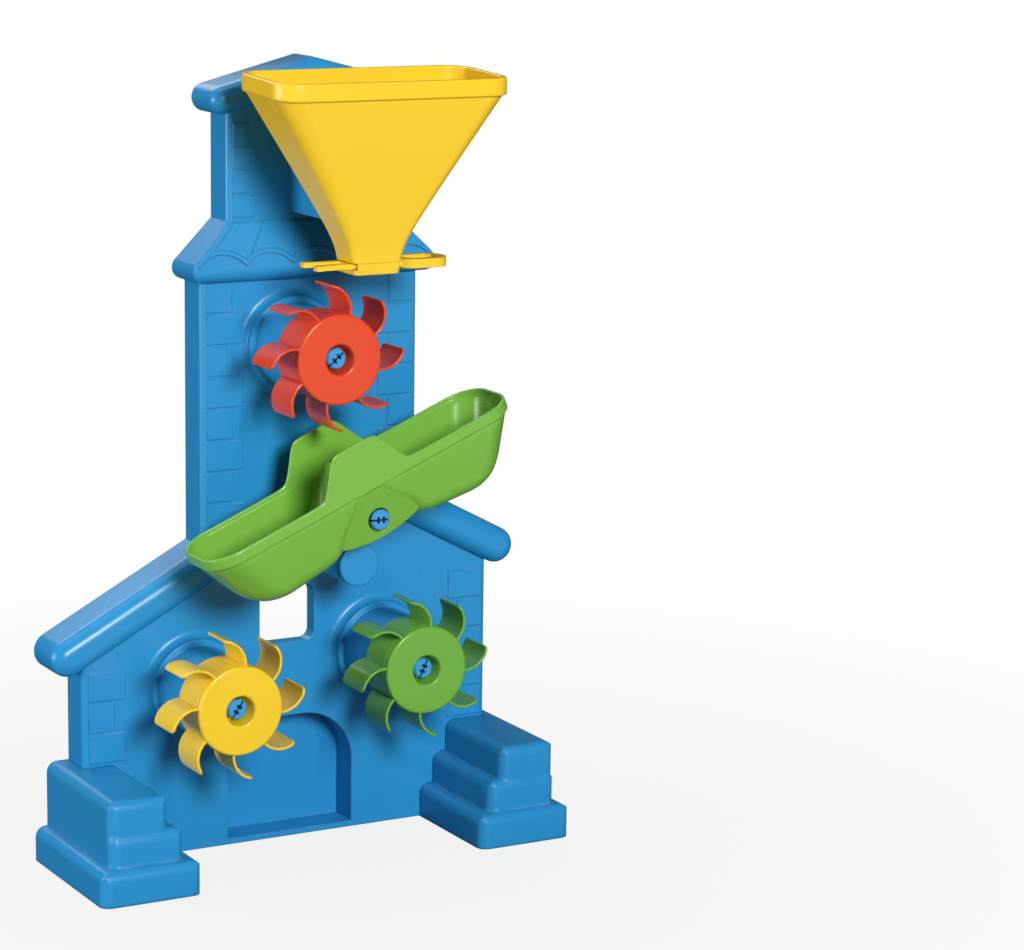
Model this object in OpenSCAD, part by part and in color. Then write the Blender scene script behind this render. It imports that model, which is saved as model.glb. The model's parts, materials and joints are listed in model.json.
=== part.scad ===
// Sand wheel toy: a moulded tower that stands on two stepped feet.
// Sand runs from the hopper over three blade wheels and a tipping trough.
// Seen from the front, +X is right, +Y is back, +Z is up.

/* [Tower shell] */
// moulded wall thickness
wall = 2.4; // [1.8:0.1:3.2]
// radius of the upright wall edges
edge_r = 3; // [2:0.25:3]
// depth of the shell from front wall to open back
body_d = 20; // [16:0.5:26]
// house wall, left of the middle
house_l = 114; // [104:0.5:124]
// house wall, right of the middle
house_r = 118; // [108:0.5:128]
// tower middle, right of the house middle
tower_x = 13.5; // [8:0.5:18]
// tower width
tower_w = 123; // [110:0.5:134]
// upper tower width
upper_w = 93.5; // [84:0.5:104]
// height where the skirt roof ends on the tower
skirt_z0 = 296; // [285:0.5:305]
// skirt height
skirt_h = 30.5; // [26:0.5:34]
// skirt nose radius
skirt_r = 6; // [4:0.25:7]
// skirt overhang past the tower
skirt_o = 7; // [5:0.25:9]
// tile relief on the skirt
tile_h = 1; // [0.6:0.1:1.6]
// number of tile scallops
tile_n = 5; // [3:1:7]
// rise of one scallop
tile_rise = 6; // [4:0.25:8]

/* [Roofs] */
// slope of the house roofs
roof_a = 28; // [20:0.5:34]
// house roof thickness
roof_t = 19; // [14:0.5:22]
// roof nose in front of the wall
roof_nose = 8; // [4:0.5:10]
// radius of the roof front edges
roof_r = 7.5; // [3:0.25:8]
// house roof end, out from the house middle
roof_x = 132; // [126:0.5:136]
// left roof end height
roof_zl = 110.5; // [102:0.5:118]
// right roof end height
roof_zr = 145.5; // [138:0.5:152]
// slope of the tower roof
cap_a = 14.5; // [8:0.5:20]
// tower roof thickness
cap_t = 14.5; // [10:0.5:18]
// tower roof overhang past the upper tower
cap_o = 10.5; // [6:0.5:14]
// height of the ridge
ridge_z = 408; // [390:1:430]

/* [Relief and openings] */
// brick relief height
brick_h = 0.6; // [0.4:0.1:1]
// joint between bricks
brick_gap = 1.4; // [1:0.1:2.2]
// brick course on the tower and house
brick_p = 16.25; // [12:0.25:20]
// brick course on the upper tower
brick_pu = 12.2; // [9:0.1:15]
// length of the long bricks
brick_l = 20; // [14:0.5:24]
// length of the short bricks
brick_s = 14; // [9:0.5:18]
// window width
win_w = 31; // [24:0.5:38]
// window height
win_h = 30; // [24:0.5:36]
// window sill height
win_z = 105; // [98:0.5:112]
// window corner radius
win_r = 5; // [3:0.5:8]
// window rim depth
win_d = 8; // [4:0.5:12]
// door width
door_w = 72; // [60:0.5:80]
// door height
door_h = 65.5; // [56:0.5:72]
// door top corner radius
door_r = 28; // [18:0.5:32]
// sill of the door above the floor
door_sill = 3; // [2.4:0.1:5]
// middle of the door, right of the house middle
door_x = 2; // [-4:0.5:6]

/* [Feet] */
// foot outer side, out from the house middle
foot_x = 132.5; // [128:0.5:138]
// foot inner side, out from the house middle
foot_in = 79; // [70:0.5:88]
// foot front, in front of the wall
foot_f = 69; // [60:0.5:76]
// foot top height
foot_h = 51.5; // [45:0.5:58]
// height of the low tier
tier_1 = 18; // [14:0.5:21]
// height of the middle tier
tier_2 = 34.5; // [28:0.5:38]
// inner step of a tier
tier_in = 7.6; // [4:0.2:10]
// front step from the low tier to the middle one
tier_f = 5; // [3:0.5:8]
// front step from the middle tier to the top one
tier_ft = 1.5; // [0.5:0.5:4]
// outer step of the low tier
tier_out = 6.5; // [4:0.25:9]
// rounding of the tier edges
tier_r = 5.5; // [3:0.25:6.5]
// foot wall thickness
foot_wall = 2.2; // [1.6:0.1:3]
// clearance between foot and wall
foot_clear = 0.2; // [0.1:0.05:0.4]
// clip width
clip_w = 14; // [8:0.5:20]
// clip thickness
clip_t = 3; // [2:0.25:4]

/* [Wheels] */
// drum diameter
drum_d = 46; // [40:0.5:52]
// drum depth
drum_l = 25.5; // [20:0.5:30]
// radius of the blade tips
tip_r = 37.4; // [33:0.2:40]
// blade thickness
blade_t = 1.4; // [1.2:0.1:2.6]
// blade curl radius
blade_r = 12.5; // [10:0.25:16]
// number of blades
blade_n = 8; // [6:1:10]
// drum face edge radius
drum_r = 1.4; // [0.8:0.2:4]
// drum wall
drum_wall = 2; // [1.4:0.1:2.8]
// middle wheel axis, right of the house middle
wheel_xt = 2; // [-2:0.5:5]
// middle wheel axis height
wheel_zt = 262; // [256:0.5:266]
// low wheel axes, out from the house middle
wheel_x = 52.5; // [48:0.5:56]
// low left wheel axis height
wheel_zl = 88; // [84:0.5:92]
// low right wheel axis height
wheel_zr = 97; // [92:0.5:102]
// boss diameter behind a wheel
boss_d = 50.5; // [48:0.5:56]
// boss height
boss_l = 5.5; // [4:0.5:9]
// boss cove radius
boss_cove = 4.5; // [2:0.25:5]
// boss edge radius
boss_r = 0.8; // [0.6:0.1:2]
// second step of the boss
step_l = 25.5; // [18:0.5:30]
// second step diameter
step_d = 44.5; // [38:0.5:46]
// rest turn of the middle wheel
turn_t = 29; // [0:1:45]
// rest turn of the low left wheel
turn_l = 36.5; // [0:0.5:45]
// rest turn of the low right wheel
turn_r = 37.5; // [0:0.5:45]

/* [Pins] */
// pin shank diameter
pin_d = 8; // [6:0.2:9]
// pin head diameter
pin_head = 10.6; // [9.6:0.1:12]
// pin head height
pin_hh = 4; // [3:0.25:5]
// running clearance on radius
run_c = 0.1; // [0.05:0.01:0.1]
// press clearance on radius
press_c = 0.03; // [0.01:0.01:0.08]
// end play of a turning piece
play = 0.5; // [0.3:0.05:0.9]
// recess diameter in the wheel face
recess_d = 15.5; // [13:0.25:18]
// recess depth
recess_l = 8; // [6:0.25:10]
// slot in the pin head
slot_w = 1.1; // [0.8:0.1:1.6]
// slot turn of the middle wheel pin
slot_t = 40; // [0:5:90]
// slot turn of the low left pin
slot_l = 55; // [0:5:90]
// slot turn of the low right pin
slot_r = 65; // [0:5:90]

/* [Tipper] */
// flow axis, right of the house middle
flow_x = 20; // [14:0.5:24]
// pivot height
tip_z = 181; // [174:0.5:186]
// half length at the rim
tip_hl = 91.5; // [84:0.5:96]
// half length at the bottom
tip_bl = 71; // [62:0.5:78]
// rim above the pivot
tip_rim = 23.5; // [19:0.5:26]
// hump above the pivot
tip_hump = 43.5; // [36:0.5:45]
// half width of the hump top
tip_top = 12.5; // [9:0.5:15]
// ridge between the troughs, above the pivot
tip_ridge = 28; // [24:0.5:34]
// belly below the pivot
tip_bot = 15.7; // [14:0.1:17]
// inner end of a belly from the pivot
tip_in = 14; // [13:0.5:17]
// half depth at the rim
tip_hd = 23.5; // [20:0.5:25]
// half depth at the belly
tip_bd = 18; // [14:0.5:19]
// recess of the web between the bellies
web_in = 4; // [2:0.25:6]
// half width of the web at its top
web_t = 5; // [3:0.5:8]
// half width of the web at the belly bottom
web_b = 25.5; // [20:0.5:28]
// tipper wall
tip_wall = 1.6; // [1.4:0.1:2.4]
// lip height
lip_h = 6; // [3:0.25:8]
// lip overhang
lip_o = 0.8; // [0.6:0.1:1.8]
// tipper middle in front of the wall
tip_y = 46.5; // [44:0.5:52]
// stop boss below the pivot
stop_dz = 28; // [26:0.25:31]
// stop boss diameter
stop_d = 22; // [18:0.5:24]
// stop boss front, in front of the wall
stop_y = 44; // [38:0.5:50]

/* [Hopper and gate] */
// rim width
hop_w = 127.5; // [110:0.5:134]
// rim depth
hop_d = 56.5; // [48:0.5:64]
// rim height above the floor
hop_z1 = 403; // [396:0.5:410]
// rim band height
hop_band = 8.5; // [6:0.25:11]
// rim band overhang
hop_o = 1.6; // [1:0.1:2.4]
// neck width
neck_w = 25.5; // [21:0.25:30]
// neck depth
neck_d = 22; // [18:0.25:26]
// neck height
neck_h = 10.5; // [9.5:0.5:18]
// neck bottom above the floor
hop_z0 = 304.5; // [302:0.5:310]
// rim middle in front of the wall
hop_y = 58; // [54:0.5:62]
// neck middle in front of the wall
neck_y = 52; // [48:0.5:56]
// hopper wall
hop_wall = 1.9; // [1.5:0.1:2.6]
// corner radius at the rim
hop_r = 11.5; // [6:0.5:14]
// corner radius at the neck
neck_r = 3.5; // [2.5:0.25:5]
// gate thickness
gate_t = 2.6; // [2:0.1:4]
// gate width
gate_w = 16.5; // [13:0.25:18]
// gate height above the neck bottom
gate_z = 3; // [2:0.25:6]
// prong length past the neck
prong_l = 20.5; // [18:0.5:32]
// prong width
prong_w = 4; // [3:0.25:5]
// pull loop length
loop_l = 28; // [18:0.5:30]
// pull loop width
loop_w = 22; // [18:0.5:25]
// pull loop thickness
loop_t = 4.6; // [3.4:0.1:5.4]
// pull loop bar width
loop_b = 5; // [3.5:0.25:6]
// clearance of the gate in its slots
gate_c = 0.35; // [0.25:0.05:0.6]
// bracket width on the tower
arm_w = 36; // [28:0.5:42]
// bracket height
arm_h = 24; // [18:0.5:30]
// bracket bottom above the neck bottom
arm_up = 25.5; // [20:0.5:32]
// gap between bracket and funnel
arm_c = 1; // [0.5:0.1:2]
// hanger width
hang_w = 14; // [10:0.5:20]
// clearance round the hanger
hang_c = 0.25; // [0.15:0.05:0.4]

/* [Hidden] */
$fn = 96;
big = 1000;
eps = 0.4;
shift_y = (hop_y + hop_d / 2 - body_d) / 2;
skirt_z1 = skirt_z0 + skirt_h;
tower_l = tower_x - tower_w / 2;
tower_r = tower_x + tower_w / 2;
upper_l = tower_x - upper_w / 2;
upper_r = tower_x + upper_w / 2;
cap_c = cap_t / 2;
cap_x = upper_w / 2 + cap_o - cap_c;
cap_z = ridge_z - cap_c / cos(cap_a) - cap_x * tan(cap_a);
boss_f = boss_l + step_l;
wheel_back = boss_f + play;
wheel_face = wheel_back + drum_l;
tip_back = tip_y - tip_hd;
tip_front = tip_y + tip_hd;
post_f = tip_back + lip_o - play;
pin_floor = wheel_face - recess_l;
tip_recess = 6;
tip_floor = tip_front - lip_o - tip_recess;
pin_in = 16;
corner_r = 2;
corner_x = tip_in + corner_r;
corner_z = tip_bot - corner_r;
corner_d = norm([corner_x, corner_z]);
touch = stop_d / 2 + corner_r + play / 5;
touch_a = acos((corner_d * corner_d + stop_dz * stop_dz - touch * touch) / (2 * corner_d * stop_dz));
tip_rest = 90 - atan(corner_z / corner_x) - touch_a;
gate_end = neck_w / 2 + prong_l;
neck_top = hop_z0 + neck_h;
hop_top = hop_z1 - hop_band;
arm_z = hop_z0 + arm_up;
arm_in = (arm_z + arm_h - neck_top) / (hop_top - neck_top);
neck_back = neck_y - neck_d / 2;
arm_f = neck_back - (neck_back - hop_y + hop_d / 2 - hop_o) * arm_in - arm_c;
blue = "#2f8fcc";
yellow = "#f7d23e";
red = "#e8503a";
green = "#7db544";

module along_y(y0, y1) {
    translate([0, y1, 0]) rotate([90, 0, 0]) linear_extrude(y1 - y0) children();
}

module along_x(x0, x1) {
    translate([x0, 0, 0]) rotate([90, 0, 90]) linear_extrude(x1 - x0) children();
}

module out_of_wall(x, z) {
    translate([x, 0, z]) rotate([90, 0, 0]) children();
}

module round_rect(w, h, r) {
    translate([-w / 2 + r, -h / 2]) square([w - 2 * r, h]);
    translate([-w / 2, -h / 2 + r]) square([w, h - 2 * r]);
    for (x = [-1, 1]) for (y = [-1, 1]) translate([x * (w / 2 - r), y * (h / 2 - r)]) circle(r);
}

// side view of a roof board: flat back, round front edges
module roof_section(t, n, d, r) {
    translate([-d, -t / 2]) square([d + n - r, t]);
    translate([-d, -t / 2 + r]) square([d + n, t - 2 * r]);
    for (s = [-1, 1]) translate([n - r, s * (t / 2 - r)]) circle(r);
}

// one roof board with a full round end; o shrinks it for the hollow
module roof_board(len, t, o, back) {
    r = min(roof_r, t / 2 - eps) - o;
    rotate([90, 0, 90]) linear_extrude(len) mirror([1, 0])
        roof_section(t - 2 * o, roof_nose - o, back, r);
    rotate([90, 0, 0]) rotate_extrude() intersection() {
        rotate(90) mirror([1, 0]) rotate(180) roof_section(t - 2 * o, roof_nose - o, back, r);
        translate([0, -big / 2]) square([big, big]);
    }
}

module house_2d(o) {
    rise = roof_t / 4;
    polygon([[-house_l + o, o], [house_r - o, o], [house_r - o, roof_zr - rise],
        [tower_r, roof_zr - rise + (roof_x - roof_t / 2 - tower_r) * tan(roof_a)],
        [tower_l, roof_zl - rise + (roof_x - roof_t / 2 + tower_l) * tan(roof_a)],
        [-house_l + o, roof_zl - rise]]);
}

module tower_2d(o) {
    translate([tower_l + o, o]) square([tower_w - 2 * o, skirt_z0 + skirt_r - o]);
}

module upper_2d(o) {
    translate([upper_l + o, skirt_z0]) square([upper_w - 2 * o, cap_z + cap_c - skirt_z0]);
}

module walls(o, back) {
    wall_block(-house_l, house_r, o, back) house_2d(o);
    wall_block(tower_l, tower_r, o, back) tower_2d(o);
    wall_block(upper_l, upper_r, o, back) upper_2d(o);
}

// wall block with round upright front edges
module wall_block(x0, x1, o, back) {
    r = max(edge_r - o, eps);
    intersection() {
        along_y(o, back) children();
        translate([(x0 + x1) / 2, big / 4 + o, 0]) linear_extrude(big)
            round_rect(x1 - x0 - 2 * o, big / 2, r);
    }
}

module skirt_front_2d(o) {
    w0 = upper_w / 2;
    w1 = tower_w / 2 + skirt_o;
    z1 = skirt_z0 + skirt_r;
    translate([tower_x, 0]) {
        polygon([[-w0 + o, skirt_z1], [w0 - o, skirt_z1], [w1 - skirt_r * 0.3 - o, z1 + skirt_r * 0.7],
            [w1 - skirt_r, z1 - skirt_r + o], [-w1 + skirt_r, z1 - skirt_r + o],
            [-w1 + skirt_r * 0.3 + o, z1 + skirt_r * 0.7]]);
        for (s = [-1, 1]) translate([s * (w1 - skirt_r), z1]) circle(skirt_r - o);
    }
}

module skirt_side_2d(o, back) {
    z1 = skirt_z0 + skirt_r;
    polygon([[back, skirt_z1], [o, skirt_z1], [-skirt_o + skirt_r * 0.05 + o, z1 + skirt_r * 0.35],
        [-skirt_o + skirt_r, z1 - skirt_r + o], [back, z1 - skirt_r + o]]);
    translate([-skirt_o + skirt_r, z1]) circle(skirt_r - o);
}

module skirt(o, back) {
    intersection() {
        along_y(-skirt_o * 2, back) skirt_front_2d(o);
        along_x(tower_l - skirt_o * 2, tower_r + skirt_o * 2) skirt_side_2d(o, back);
    }
}

module roofs(o, back) {
    reach = wall * 4;
    c = roof_x - roof_t / 2;
    translate([-c, 0, roof_zl]) rotate([0, -roof_a, 0])
        roof_board((c + tower_l + reach) / cos(roof_a), roof_t, o, back);
    translate([c, 0, roof_zr]) rotate([0, roof_a, 0]) mirror([1, 0, 0])
        roof_board((c - tower_r + reach) / cos(roof_a), roof_t, o, back);
    for (s = [0, 1]) translate([tower_x, 0, 0]) mirror([s, 0, 0]) intersection() {
        translate([-cap_x, 0, cap_z]) rotate([0, -cap_a, 0])
            roof_board(cap_x / cos(cap_a) + cap_c, cap_t, o, back);
        translate([-big / 2, -big / 2, 0]) cube([big / 2, big, big]);
    }
}

// raised tiles with a scalloped lower edge on the skirt front
module tiles() {
    w = tower_w + 2 * skirt_o - skirt_r;
    p = w / tile_n;
    z0 = skirt_z0 + skirt_r * 1.4;
    r = (p * p / 4 + tile_rise * tile_rise) / (2 * tile_rise);
    intersection() {
        translate([0, -tile_h, 0]) skirt(0, wall);
        along_y(-skirt_o * 2, wall) difference() {
            translate([tower_x - w / 2, z0]) square([w, skirt_z1 - z0 - tile_h]);
            for (i = [0 : tile_n - 1])
                translate([tower_x - w / 2 + (i + 0.5) * p, z0 + tile_rise - r]) circle(r);
        }
    }
}

// one column of corner bricks; side 1 runs inward to the right, -1 to the left
module bricks(x, z, n, p, side, l, s) {
    for (i = [0 : n - 1]) {
        len = i % 2 == 0 ? l : s;
        x0 = side > 0 ? x + edge_r : x - edge_r - len;
        translate([x0, -brick_h, z + i * p + brick_gap / 2]) cube([len, brick_h + eps, p - brick_gap]);
    }
}

module all_bricks() {
    n_t = floor((skirt_z0 - roof_zr) / brick_p) - 1;
    bricks(tower_l, skirt_z0 - n_t * brick_p, n_t, brick_p, 1, brick_l, brick_s);
    bricks(tower_r, skirt_z0 - n_t * brick_p, n_t, brick_p, -1, brick_l, brick_s);
    n_u = floor((cap_z - cap_c - skirt_z1) / brick_pu);
    for (s = [-1, 1])
        bricks(tower_x + s * upper_w / 2, skirt_z1 + tile_h, n_u, brick_pu, -s, brick_l * 0.6, brick_s * 0.6);
    n_l = floor((roof_zl - roof_t / 2 - foot_h) / brick_p);
    bricks(-house_l, foot_h + tile_h, n_l, brick_p, 1, brick_l, brick_s);
    n_r = floor((roof_zr - roof_t / 2 - foot_h) / brick_p);
    bricks(house_r, foot_h + tile_h, n_r, brick_p, -1, brick_l, brick_s);
}

// stepped boss with a hollow cove, turned round the wheel axis
module boss_2d() {
    r = boss_d / 2;
    difference() {
        translate([0, -eps]) square([r + boss_cove, boss_cove + eps]);
        translate([r + boss_cove, boss_cove]) circle(boss_cove);
    }
    square([r, boss_l - boss_r]);
    square([r - boss_r, boss_l]);
    translate([r - boss_r, boss_l - boss_r]) circle(boss_r);
    square([step_d / 2, boss_f]);
}

module boss_hollow_2d() {
    r = boss_d / 2 - wall;
    b = pin_d / 2 + wall;
    translate([b, -wall * 2]) square([r - b, boss_l]);
    translate([b, -wall * 2]) square([step_d / 2 - wall - b, boss_f + wall]);
}

module post_2d(d, len) {
    r = d / 2;
    difference() {
        translate([0, -eps]) square([r + boss_cove / 3, boss_cove / 3 + eps]);
        translate([r + boss_cove / 3, boss_cove / 3]) circle(boss_cove / 3);
    }
    square([r, len - drum_wall / 2]);
    square([r - drum_wall / 2, len]);
    translate([r - drum_wall / 2, len - drum_wall / 2]) circle(drum_wall / 2);
}

module each_wheel() {
    out_of_wall(wheel_xt, wheel_zt) children();
    out_of_wall(-wheel_x, wheel_zl) children();
    out_of_wall(wheel_x, wheel_zr) children();
}

module door_2d(o) {
    w = door_w - 2 * o;
    r = door_r - o;
    translate([door_x - w / 2, door_sill + o]) square([w, door_h - door_sill - o - r - o]);
    translate([door_x - w / 2 + r, door_sill + o]) square([w - 2 * r, door_h - door_sill - 2 * o]);
    for (s = [-1, 1]) translate([door_x + s * (w / 2 - r), door_h - o - r]) circle(r);
}

module window_2d(o) {
    translate([0, win_z + win_h / 2]) round_rect(win_w + 2 * o, win_h + 2 * o, win_r + o);
}

// bracket that carries the hopper hanger
module arm() {
    translate([flow_x - arm_w / 2, -arm_f, arm_z]) difference() {
        cube([arm_w, arm_f + eps, arm_h]);
        translate([wall, wall * 2 + hang_w / 2, -eps]) cube([arm_w - 2 * wall, big, arm_h - wall]);
        translate([arm_w / 2 - hang_w / 2 - hang_c, wall, wall * 2]) 
            cube([hang_w + 2 * hang_c, wall + 2 * hang_c, big]);
        translate([arm_w / 2 - hang_w / 4 - hang_c, -eps, wall * 2]) 
            cube([hang_w / 2 + 2 * hang_c, wall + 2 * eps, big]);
    }
}

module clip_cuts(c) {
    for (x = [-(house_l + foot_in) / 2, (house_r + foot_in) / 2])
        translate([x - clip_w / 2 - c, -eps, tier_2 - clip_t - c]) cube([clip_w + 2 * c, wall * 2, clip_t + 2 * c]);
}

module shell_ribs() {
    rib = wall * 0.7;
    deep = body_d * 0.6;
    for (x = [tower_l + tower_w / 4, tower_r - tower_w / 4])
        translate([x - rib / 2, wall - eps, wheel_zt + boss_d / 2 + boss_cove])
            cube([rib, deep, skirt_z1 - wheel_zt - boss_d / 2 - boss_cove]);
    for (z = [tip_z + boss_d / 2, skirt_z0])
        translate([tower_l + wall - eps, wall - eps, z]) cube([tower_w - 2 * wall + 2 * eps, deep, rib]);
}

module tower_shell() color(blue) translate([0, shift_y, 0]) difference() {
    union() {
        difference() {
            union() {
                walls(0, body_d + edge_r);
                skirt(0, body_d + edge_r);
                tiles();
                roofs(0, body_d + edge_r);
                each_wheel() rotate_extrude() boss_2d();
                all_bricks();
            }
            walls(wall, big / 4);
            skirt(wall, big / 4);
            roofs(wall, big / 4);
            each_wheel() rotate_extrude() boss_hollow_2d();
            translate([-big / 2, body_d, -big / 2]) cube(big);
        }
        shell_ribs();
        intersection() {
            each_wheel() translate([0, 0, -body_d + wall]) cylinder(d = pin_d + 2 * wall, h = boss_f);
            along_y(0, body_d - wall) tower_2d(0);
        }
        along_y(wall / 2, win_d) window_2d(wall * 0.8);
        along_y(wall / 2, body_d) difference() {
            door_2d(-wall * 0.8);
            translate([-big / 2, -big]) square([big, big]);
        }
        out_of_wall(flow_x, tip_z) rotate_extrude() post_2d(pin_d * 2, post_f);
        out_of_wall(flow_x, tip_z - stop_dz) rotate_extrude() post_2d(stop_d, stop_y);
        arm();
    }
    along_y(-eps, win_d + eps) window_2d(0);
    along_y(-big / 4, body_d - wall * 0.8) door_2d(0);
    each_wheel() translate([0, 0, boss_f - pin_in]) cylinder(d = pin_d + 2 * press_c, h = big / 4);
    out_of_wall(flow_x, tip_z) translate([0, 0, post_f - pin_in]) cylinder(d = pin_d + 2 * press_c, h = big / 4);
    out_of_wall(flow_x, tip_z - stop_dz) translate([0, 0, -body_d])
        cylinder(d = stop_d - 2 * wall, h = body_d + stop_y - wall);
    clip_cuts(foot_clear);
}

// one tier: plan, front and side outlines with round upper edges
module tier(x0, x1, y0, y1, h, r) {
    w = x1 - x0;
    intersection() {
        translate([(x0 + x1) / 2, (y0 + y1) / 2 + big / 4, 0]) linear_extrude(h)
            round_rect(w, y1 - y0 + big / 2, r);
        along_y(y0 - eps, y1) translate([(x0 + x1) / 2, h / 2 - big / 4]) round_rect(w, h + big / 2, r);
        along_x(x0 - eps, x1 + eps) translate([y0 + big / 4, h / 2 - big / 4])
            round_rect(big / 2, h + big / 2, r);
    }
}

// stepped foot, drawn for the right side; o shrinks it for the hollow
module foot_block(o) {
    top = foot_h - o;
    tier(foot_in + o, foot_x - o, -foot_f + o, body_d - o, tier_1 - o, tier_r - o);
    tier(foot_in + tier_in + o, foot_x - tier_out - o, -foot_f + tier_f + o, body_d - o, tier_2 - o, tier_r - o);
    tier(foot_in + 2 * tier_in + o, foot_x - tier_out - o, -foot_f + tier_f + tier_ft + o, body_d - o, top, tier_r - o);
}

module foot(side, edge) {
    x0 = (edge + foot_in) / 2;
    difference() {
        foot_block(0);
        difference() {
            translate([0, 0, -eps]) foot_block(foot_wall);
            translate([-eps, -foot_clear - foot_wall, -big / 2]) 
                cube([edge + foot_clear + foot_wall + eps, big, big]);
        }
        translate([0, -foot_clear, -eps]) cube([edge + foot_clear, big, big]);
    }
    translate([x0 - clip_w / 2, -foot_clear - foot_wall, tier_2 - clip_t]) 
        cube([clip_w, foot_wall + foot_clear + wall + clip_t, clip_t]);
}

module left_foot() color(blue) translate([0, shift_y, 0]) mirror([1, 0, 0]) foot(-1, house_l);

module right_foot() color(blue) translate([0, shift_y, 0]) foot(1, house_r);

// funnel between rim and neck, o shrinks it for the hollow
module funnel(o) {
    hull() {
        translate([0, -hop_y, hop_top]) linear_extrude(eps) round_rect(hop_w - 2 * hop_o - 2 * o,
            hop_d - 2 * hop_o - 2 * o, hop_r - o, $fn = 32);
        translate([0, -neck_y, neck_top]) linear_extrude(eps) round_rect(neck_w - 2 * o,
            neck_d - 2 * o, neck_r - o, $fn = 32);
    }
}

module hopper() color(yellow) translate([flow_x, shift_y, 0]) {
    gate_h = gate_t + 2 * gate_c;
    difference() {
        union() {
            funnel(0);
            translate([0, -hop_y, hop_top]) linear_extrude(hop_band) round_rect(hop_w, hop_d, hop_r + hop_o);
            translate([0, -neck_y, hop_z0]) linear_extrude(neck_h + eps) round_rect(neck_w, neck_d, neck_r);
        }
        funnel(hop_wall);
        translate([0, -hop_y, hop_top]) linear_extrude(hop_band + eps)
            round_rect(hop_w - 2 * hop_o - 2 * hop_wall, hop_d - 2 * hop_o - 2 * hop_wall, hop_r - hop_wall);
        translate([0, -neck_y, hop_z0 - eps]) linear_extrude(neck_h + 2 * eps)
            round_rect(neck_w - 2 * hop_wall, neck_d - 2 * hop_wall, neck_r - hop_wall);
        translate([-big / 2, -neck_y - gate_w / 2 - gate_c, hop_z0 + gate_z - gate_c])
            cube([big, gate_w + 2 * gate_c, gate_h]);
    }
    difference() {
        union() {
            translate([-hang_w / 2, -arm_f + wall + hang_c, arm_z + wall * 2 + hang_c])
                cube([hang_w, wall, arm_h - wall]);
            translate([-hang_w / 4, -neck_y - neck_d / 2 + hop_wall, arm_z + wall * 2 + hang_c])
                cube([hang_w / 2, neck_d + neck_y - neck_d / 2 - arm_f + wall, arm_h - wall]);
        }
        funnel(hop_wall / 2);
    }
}

// flat gate: two barbed prongs, a closed middle and a pull loop
module slide_gate() color(yellow) translate([flow_x, shift_y - neck_y, hop_z0 + gate_z]) {
    mid = neck_w / 2 + 1;
    barb = 1.4;
    linear_extrude(gate_t) {
        translate([-mid, -gate_w / 2]) square([2 * mid + barb, gate_w]);
        for (s = [0, 1]) mirror([0, s, 0]) {
            polygon([[-mid + barb, gate_w / 2 - prong_w * 1.3], [-mid + barb, gate_w / 2],
                [-gate_end, gate_w / 2], [-gate_end, gate_w / 2 - prong_w * 0.7]]);
            translate([-gate_end, gate_w / 2 - prong_w + barb]) square([prong_w, prong_w]);
        }
    }
    translate([mid + loop_l / 2, 0, (gate_t - loop_t) / 2]) linear_extrude(loop_t) difference() {
        round_rect(loop_l, loop_w, loop_w / 2 - barb);
        round_rect(loop_l - 2 * loop_b, loop_w - 2 * loop_b, loop_w / 2 - barb - loop_b);
    }
}

// one blade that leaves the drum straight and curls at its tip
module blade_2d() {
    r0 = drum_d / 2 - drum_wall;
    c = [r0, blade_r];
    intersection() {
        difference() {
            translate(c) circle(blade_r + blade_t / 2);
            translate(c) circle(blade_r - blade_t / 2);
            translate([-big, -big / 2]) square([big + r0, big]);
            translate([0, blade_r * 1.05]) square(big);
        }
        circle(tip_r + blade_t);
    }
}

module wheel() {
    sleeve = pin_d / 2 + run_c;
    hub = recess_d / 2 + drum_wall;
    r = drum_d / 2;
    difference() {
        union() {
            rotate_extrude() difference() {
                union() {
                    square([r, drum_l - drum_r]);
                    square([r - drum_r, drum_l]);
                    translate([r - drum_r, drum_l - drum_r]) circle(drum_r);
                }
                translate([hub, -eps]) square([r - drum_wall - hub, drum_l - drum_wall + eps]);
            }
            for (i = [0 : blade_n - 1]) rotate(i * 360 / blade_n)
                translate([0, 0, play]) linear_extrude(drum_l - play - drum_r / 2) blade_2d();
        }
        translate([0, 0, drum_l - recess_l]) cylinder(d1 = pin_head + 2, d2 = recess_d, h = recess_l + eps / 100);
        translate([0, 0, -eps]) cylinder(r = sleeve, h = drum_l);
    }
}

module wheel_at(x, z, turn) {
    translate([0, shift_y, 0]) out_of_wall(x, z) translate([0, 0, wheel_back]) rotate(turn) wheel();
}

module wheel_top() color(red) wheel_at(wheel_xt, wheel_zt, turn_t);

module wheel_left() color(yellow) wheel_at(-wheel_x, wheel_zl, turn_l);

module wheel_right() color(green) wheel_at(wheel_x, wheel_zr, turn_r);

// snap pin: press shank, turning shank and a split head with a toothed slot
module pin(seat, floor_at) {
    under = floor_at + play / 2;
    tooth = slot_w * 1.2;
    translate([0, 0, seat - pin_in + play]) cylinder(d = pin_d, h = under - seat + pin_in);
    difference() {
        union() {
            translate([0, 0, under]) cylinder(d = pin_head, h = pin_hh - 1);
            translate([0, 0, under + pin_hh - 1]) cylinder(d1 = pin_head, d2 = pin_head - 1.6, h = 1);
        }
        translate([-pin_head, -slot_w / 2, under + 1]) cube([2 * pin_head, slot_w, pin_hh]);
        for (x = [-1, 1]) translate([x * pin_head / 7 - tooth / 2, -tooth * 1.3, under + 1])
            cube([tooth, tooth * 2.6, pin_hh]);
    }
}

module pin_at(x, z, seat, floor_at, turn) color(blue) translate([0, shift_y, 0])
    out_of_wall(x, z) rotate(turn) pin(seat, floor_at);

module pin_top() pin_at(wheel_xt, wheel_zt, boss_f, pin_floor, slot_t);

module pin_left() pin_at(-wheel_x, wheel_zl, boss_f, pin_floor, slot_l);

module pin_right() pin_at(wheel_x, wheel_zr, boss_f, pin_floor, slot_r);

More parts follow.
